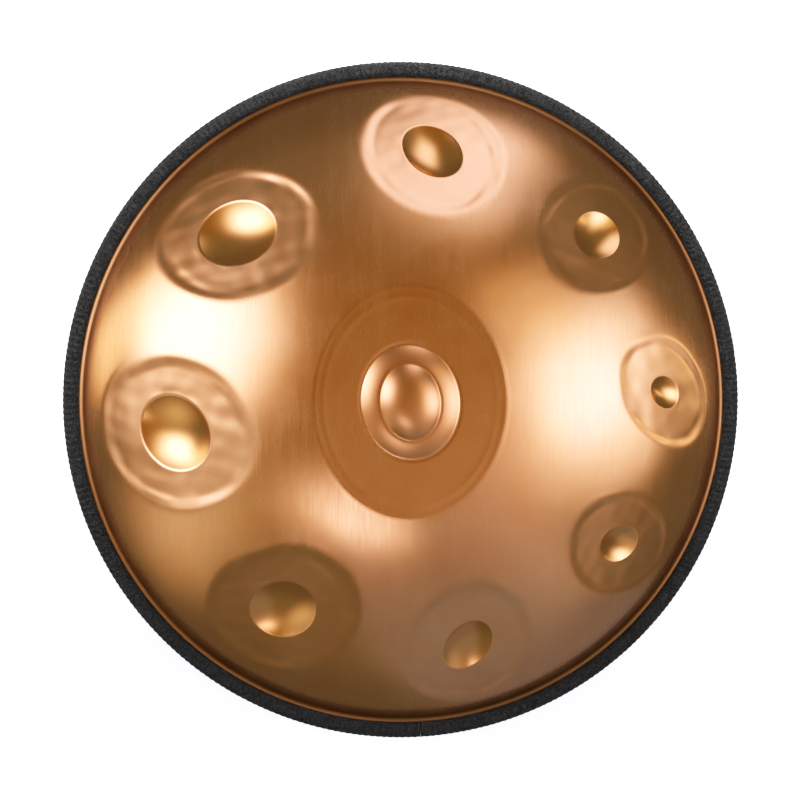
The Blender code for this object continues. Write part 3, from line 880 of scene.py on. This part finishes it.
def rubber_material():
    """Black trim rubber with a fine leather grain, dusty on its high spots."""
    shader = Shader("trim_rubber_surface")
    grain = shader.noise((850.0, 850.0, 850.0), 2.0, 0.6)
    dust = shader.noise((90.0, 90.0, 90.0), 4.0, 0.6)
    speck = shader.math("MULTIPLY", shader.span(grain, 0.4, 0.7), shader.span(dust, 0.2, 0.8, 0.5, 1.0))
    shader.set("Base Color", shader.mix(speck, RUBBER_BLACK, RUBBER_DUSTY))
    shader.set("Roughness", shader.span(dust, 0.3, 0.7, *RUBBER_ROUGHNESS))
    shader.set("Sheen Weight", 0.12)
    shader.set("Sheen Roughness", 0.4)
    shader.set("Sheen Tint", RUBBER_SHINE)
    shader.set("Specular IOR Level", 0.35)
    shader.set("Specular Tint", RUBBER_SHINE)
    shader.set("Normal", shader.bump(grain, RUBBER_BUMP))
    return shader.material


def core_material():
    """Plain folded strip steel with a rolled grain."""
    shader = Shader("core_steel_surface")
    grain = shader.noise((300.0, 300.0, 900.0), 3.0, 0.6)
    shader.set("Base Color", shader.mix(grain, CORE_DARK, CORE_PALE))
    shader.set("Metallic", 1.0)
    shader.set("Roughness", shader.span(grain, 0.3, 0.7, *CORE_ROUGHNESS))
    shader.set("Normal", shader.bump(grain, CORE_BUMP))
    return shader.material


def glue_material():
    """Cured resin, slightly uneven."""
    shader = Shader("glue_surface")
    lumps = shader.noise((400.0, 400.0, 400.0), 3.0, 0.55)
    shader.set("Base Color", shader.mix(lumps, GLUE_DARK, GLUE_PALE))
    shader.set("Roughness", shader.span(lumps, 0.3, 0.7, *GLUE_ROUGHNESS))
    shader.set("Normal", shader.bump(lumps, GLUE_BUMP))
    return shader.material


def repaint(node, material):
    """Give a CAD node another material."""
    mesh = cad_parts[node].data
    for index in range(len(mesh.materials)):
        mesh.materials[index] = material
    if not mesh.materials:
        mesh.materials.append(material)


# Surroundings: their color low down and overhead, and where in height one turns into the other;
# then where their strength turns, and its two levels
WORLD_BELOW = (0.55, 0.68, 0.59)
WORLD_ABOVE = (0.75, 0.64, 0.29)
WORLD_COLOR_TURN = (0.4, 1.0)
WORLD_LEVEL_TURN = (-0.15, 0.25)
WORLD_LEVELS = (0.86, 1.12)

# Colors of light. The fringe tint is for the soft edges of the panels.
COOL = (1.0, 1.0, 1.5)
WARM = (1.1, 1.0, 0.95)
ICE = (0.7, 1.0, 2.0)
PLAIN = (1.0, 1.0, 1.1)
FRINGE_TINT = (1.0, 0.98, 0.70)

# Soft light panels: bearing, angle from the vertical, angular width and height, and roll, in
# degrees; then how much of each half is the soft edge, the brightness and the color
Panel = namedtuple("Panel", "name bearing slant width height roll softness brightness color")
PANEL_DISTANCE = 3.0
PANELS = (
    Panel("key_left", 163.0, 60.0, 50.0, 61.0, 9.0, 0.9, 14.5, COOL),
    Panel("key_right", 2.0, 53.0, 55.0, 64.0, 12.0, 1.0, 10.0, COOL),
    Panel("top", 74.0, 74.0, 39.0, 66.0, -9.0, 0.75, 4.6, COOL),
    Panel("top_inner", 37.0, 42.0, 27.0, 16.0, 60.0, 0.3, 1.5, WARM),
    Panel("kicker", 248.0, 34.0, 44.0, 15.0, 0.0, 1.0, 9.6, COOL),
    Panel("right_edge", 5.0, 92.0, 8.0, 38.0, -20.0, 0.75, 6.0, WARM),
    Panel("left_edge", 165.0, 94.0, 49.0, 23.0, -60.0, 0.6, 4.4, WARM),
    Panel("left_low", 211.0, 74.0, 43.0, 80.0, 0.0, 1.0, 1.7, PLAIN),
    Panel("right_low", -42.0, 40.0, 39.0, 107.0, 0.0, 1.0, 0.9, COOL),
    Panel("front", 292.0, 77.0, 57.0, 110.0, 20.0, 0.35, 0.33, ICE),
)


def aim(item, location, target):
    """Place an object so that its -Z axis points at a target."""
    item.location = location
    item.rotation_euler = (Vector(target) - Vector(location)).to_track_quat("-Z", "Y").to_euler()


def glow(name, panel):
    """A clear material that glows, and glows less towards a panel's edges."""
    shader = Shader(name)
    nodes = shader.tree.nodes
    links = shader.tree.links
    nodes.remove(shader.surface)
    split = nodes.new("ShaderNodeSeparateXYZ")
    links.new(shader.across_box, split.inputs["Vector"])
    fades = []
    for axis in "XY":
        offset = shader.math("ABSOLUTE", shader.math("SUBTRACT", split.outputs[axis], 0.5))
        start = 0.5 * (1.0 - panel.softness)
        fades.append(shader.span(offset, start, 0.5, 1.0, 0.0, "SMOOTHSTEP"))
    share = shader.math("MULTIPLY", *fades)
    fringe = [part * dye for part, dye in zip(panel.color, FRINGE_TINT)]
    emission = nodes.new("ShaderNodeEmission")
    shader.feed(emission.inputs["Color"], shader.mix(share, (*fringe, 1.0), (*panel.color, 1.0)))
    shader.feed(emission.inputs["Strength"], shader.math("MULTIPLY", share, panel.brightness))
    clear = nodes.new("ShaderNodeBsdfTransparent")
    both = nodes.new("ShaderNodeAddShader")
    links.new(emission.outputs["Emission"], both.inputs[0])
    links.new(clear.outputs["BSDF"], both.inputs[1])
    links.new(both.outputs["Shader"], nodes["Material Output"].inputs["Surface"])
    return shader.material


def add_panel(panel, middle):
    """A glowing panel that faces the object and that the camera doesn't see."""
    bearing = math.radians(panel.bearing)
    slant = math.radians(panel.slant)
    roll = math.radians(panel.roll)
    toward = Vector((math.cos(bearing), math.sin(bearing), 0.0)) * math.sin(slant)
    toward.z = math.cos(slant)
    level = Vector((-math.sin(bearing), math.cos(bearing), 0.0))
    steep = toward.cross(level)
    across = level * math.cos(roll) + steep * math.sin(roll)
    along = steep * math.cos(roll) - level * math.sin(roll)
    half_x = PANEL_DISTANCE * math.tan(math.radians(panel.width / 2))
    half_y = PANEL_DISTANCE * math.tan(math.radians(panel.height / 2))
    mesh = bpy.data.meshes.new(panel.name)
    corners = [(-half_x, -half_y, 0), (half_x, -half_y, 0), (half_x, half_y, 0), (-half_x, half_y, 0)]
    mesh.from_pydata(corners, [], [(0, 1, 2, 3)])
    item = new_piece("panel_" + panel.name, mesh, glow("glow_" + panel.name, panel))
    turn = Matrix((across, along, toward)).transposed()
    item.matrix_world = Matrix.Translation(middle + toward * PANEL_DISTANCE) @ turn.to_4x4()
    item.visible_camera = False
    item.visible_shadow = False


# Lamps: width, power and place from the middle of the rim
Lamp = namedtuple("Lamp", "name size energy place")
LAMPS = (
    Lamp("overhead", 2.6, 260.0, (0.0, 0.0, 2.4)),
    Lamp("behind", 0.8, 200.0, (0.0, 1.2, 0.5)),
)

# Floor: radius of its flat part, radius of the curve at its edge, and height of the wall
FLOOR_RADIUS = 3.2
FLOOR_CURVE = 1.2
WALL_HEIGHT = 4.5
FLOOR_COUNT = 96

# The view's tone: response = ceiling * light ^ contrast / (light ^ contrast + knee)
TONE_CONTRAST = 1.575
TONE_KNEE = 2.79
TONE_CEILING = 1.263
TONE_WHITE = 4.5
TONE_STEPS = 12


def add_lamp(lamp, middle):
    """A round lamp that lights the floor and the rubber but leaves no mirror image."""
    light = bpy.data.lights.new(lamp.name, "AREA")
    light.shape = "DISK"
    light.size = lamp.size
    light.energy = lamp.energy
    item = bpy.data.objects.new(lamp.name, light)
    bpy.context.scene.collection.objects.link(item)
    item.visible_camera = False
    item.visible_glossy = False
    aim(item, middle + Vector(lamp.place), middle)


def add_floor():
    """A pale studio floor that curves up into a wall far from the object."""
    outline = arc(FLOOR_RADIUS, GROUND_Z + FLOOR_CURVE, FLOOR_CURVE, -90.0, 0.0, 12)
    outline.append((FLOOR_RADIUS + FLOOR_CURVE, GROUND_Z + WALL_HEIGHT))
    mesh = bpy.data.meshes.new("studio_floor")
    turn = math.tau * np.arange(FLOOR_COUNT) / FLOOR_COUNT
    points = [(0.0, 0.0, GROUND_Z)]
    for radius, height in outline:
        points += [(radius * math.cos(a), radius * math.sin(a), height) for a in turn]
    faces = [(0, 1 + n, 1 + (n + 1) % FLOOR_COUNT) for n in range(FLOOR_COUNT)]
    for ring in range(len(outline) - 1):
        a = 1 + ring * FLOOR_COUNT
        b = a + FLOOR_COUNT
        for n in range(FLOOR_COUNT):
            m = (n + 1) % FLOOR_COUNT
            faces.append((a + n, b + n, b + m, a + m))
    mesh.from_pydata(points, [], faces)
    mesh.shade_smooth()
    shader = Shader("floor_paint")
    shade = shader.noise((3.0, 3.0, 3.0), 2.0)
    shader.set("Base Color", shader.mix(shade, FLOOR_DARK, FLOOR_PALE))
    shader.set("Roughness", 0.9)
    shader.set("Specular IOR Level", 0.1)
    floor = new_piece("studio_floor", mesh, shader.material)
    floor.visible_glossy = False
    floor.visible_shadow = False


def add_world():
    """Soft surroundings, cool low down, and warmer and a little brighter overhead."""
    world = bpy.data.worlds.new("studio")
    bpy.context.scene.world = world
    world.use_nodes = True
    tree = world.node_tree
    place = tree.nodes.new("ShaderNodeTexCoord")
    split = tree.nodes.new("ShaderNodeSeparateXYZ")
    tree.links.new(place.outputs["Generated"], split.inputs["Vector"])
    tint = tree.nodes.new("ShaderNodeMapRange")
    tint.data_type = "FLOAT_VECTOR"
    tint.interpolation_type = "SMOOTHSTEP"
    tree.links.new(split.outputs["Z"], tint.inputs["Vector"])
    low, high = WORLD_COLOR_TURN
    # The vector sockets, 7 to 10, share their names with the plain ones
    limits = ((low, low, low), (high, high, high), WORLD_BELOW, WORLD_ABOVE)
    for index, limit in enumerate(limits):
        tint.inputs[7 + index].default_value = limit
    level = tree.nodes.new("ShaderNodeMapRange")
    level.interpolation_type = "SMOOTHSTEP"
    tree.links.new(split.outputs["Z"], level.inputs["Value"])
    names = ("From Min", "From Max", "To Min", "To Max")
    for name, limit in zip(names, WORLD_LEVEL_TURN + WORLD_LEVELS):
        level.inputs[name].default_value = limit
    background = tree.nodes["Background"]
    tree.links.new(tint.outputs["Vector"], background.inputs["Color"])
    tree.links.new(level.outputs["Result"], background.inputs["Strength"])


def add_camera():
    """The camera, almost straight above the rim's middle, with +Y up in the picture."""
    camera = bpy.data.cameras.new("camera")
    camera.lens = CAMERA_LENS
    camera.sensor_width = SENSOR_WIDTH
    item = bpy.data.objects.new("camera", camera)
    bpy.context.scene.collection.objects.link(item)
    lean_x, lean_y = [math.tan(math.radians(angle)) for angle in CAMERA_TILT]
    back = Vector((-lean_x, lean_y, 1.0)).normalized()
    right = Vector((0.0, 1.0, 0.0)).cross(back).normalized()
    up = back.cross(right)
    turn = Matrix((right, up, back)).transposed()
    target = Vector((*CAMERA_AIM, RIM_Z))
    item.matrix_world = Matrix.Translation(target + back * CAMERA_DISTANCE) @ turn.to_4x4()
    bpy.context.scene.camera = item


def film_response(light):
    """Brightness on the screen for an amount of light: dark shadows and highlights that roll off."""
    bent = light ** TONE_CONTRAST
    return min(1.0, TONE_CEILING * bent / (bent + TONE_KNEE))


def set_tone():
    """A plain view of the scene through the film response."""
    view = bpy.context.scene.view_settings
    view.view_transform = "Standard"
    view.use_curve_mapping = True
    mapping = view.curve_mapping
    mapping.white_level = (TONE_WHITE, TONE_WHITE, TONE_WHITE)
    curve = mapping.curves[3]
    curve.points[0].location = (0.0, 0.0)
    curve.points[1].location = (1.0, 1.0)
    for step in range(1, TONE_STEPS):
        share = (step / TONE_STEPS) ** 2
        curve.points.new(share, film_response(share * TONE_WHITE))
    mapping.update()


def build_object():
    """The finished pieces and the repainted CAD nodes."""
    bronze = bronze_material()
    add_top_shell(bronze)
    add_bottom_shell(bronze)
    add_rim_trim(rubber_material())
    repaint("rim_trim_core", core_material())
    repaint("rim_glue", glue_material())


def build_studio():
    """Floor, lights, surroundings and camera."""
    middle = Vector((0.0, 0.0, RIM_Z))
    add_floor()
    for panel in PANELS:
        add_panel(panel, middle)
    for lamp in LAMPS:
        add_lamp(lamp, middle)
    add_world()
    add_camera()
    set_tone()


build_object()
build_studio()

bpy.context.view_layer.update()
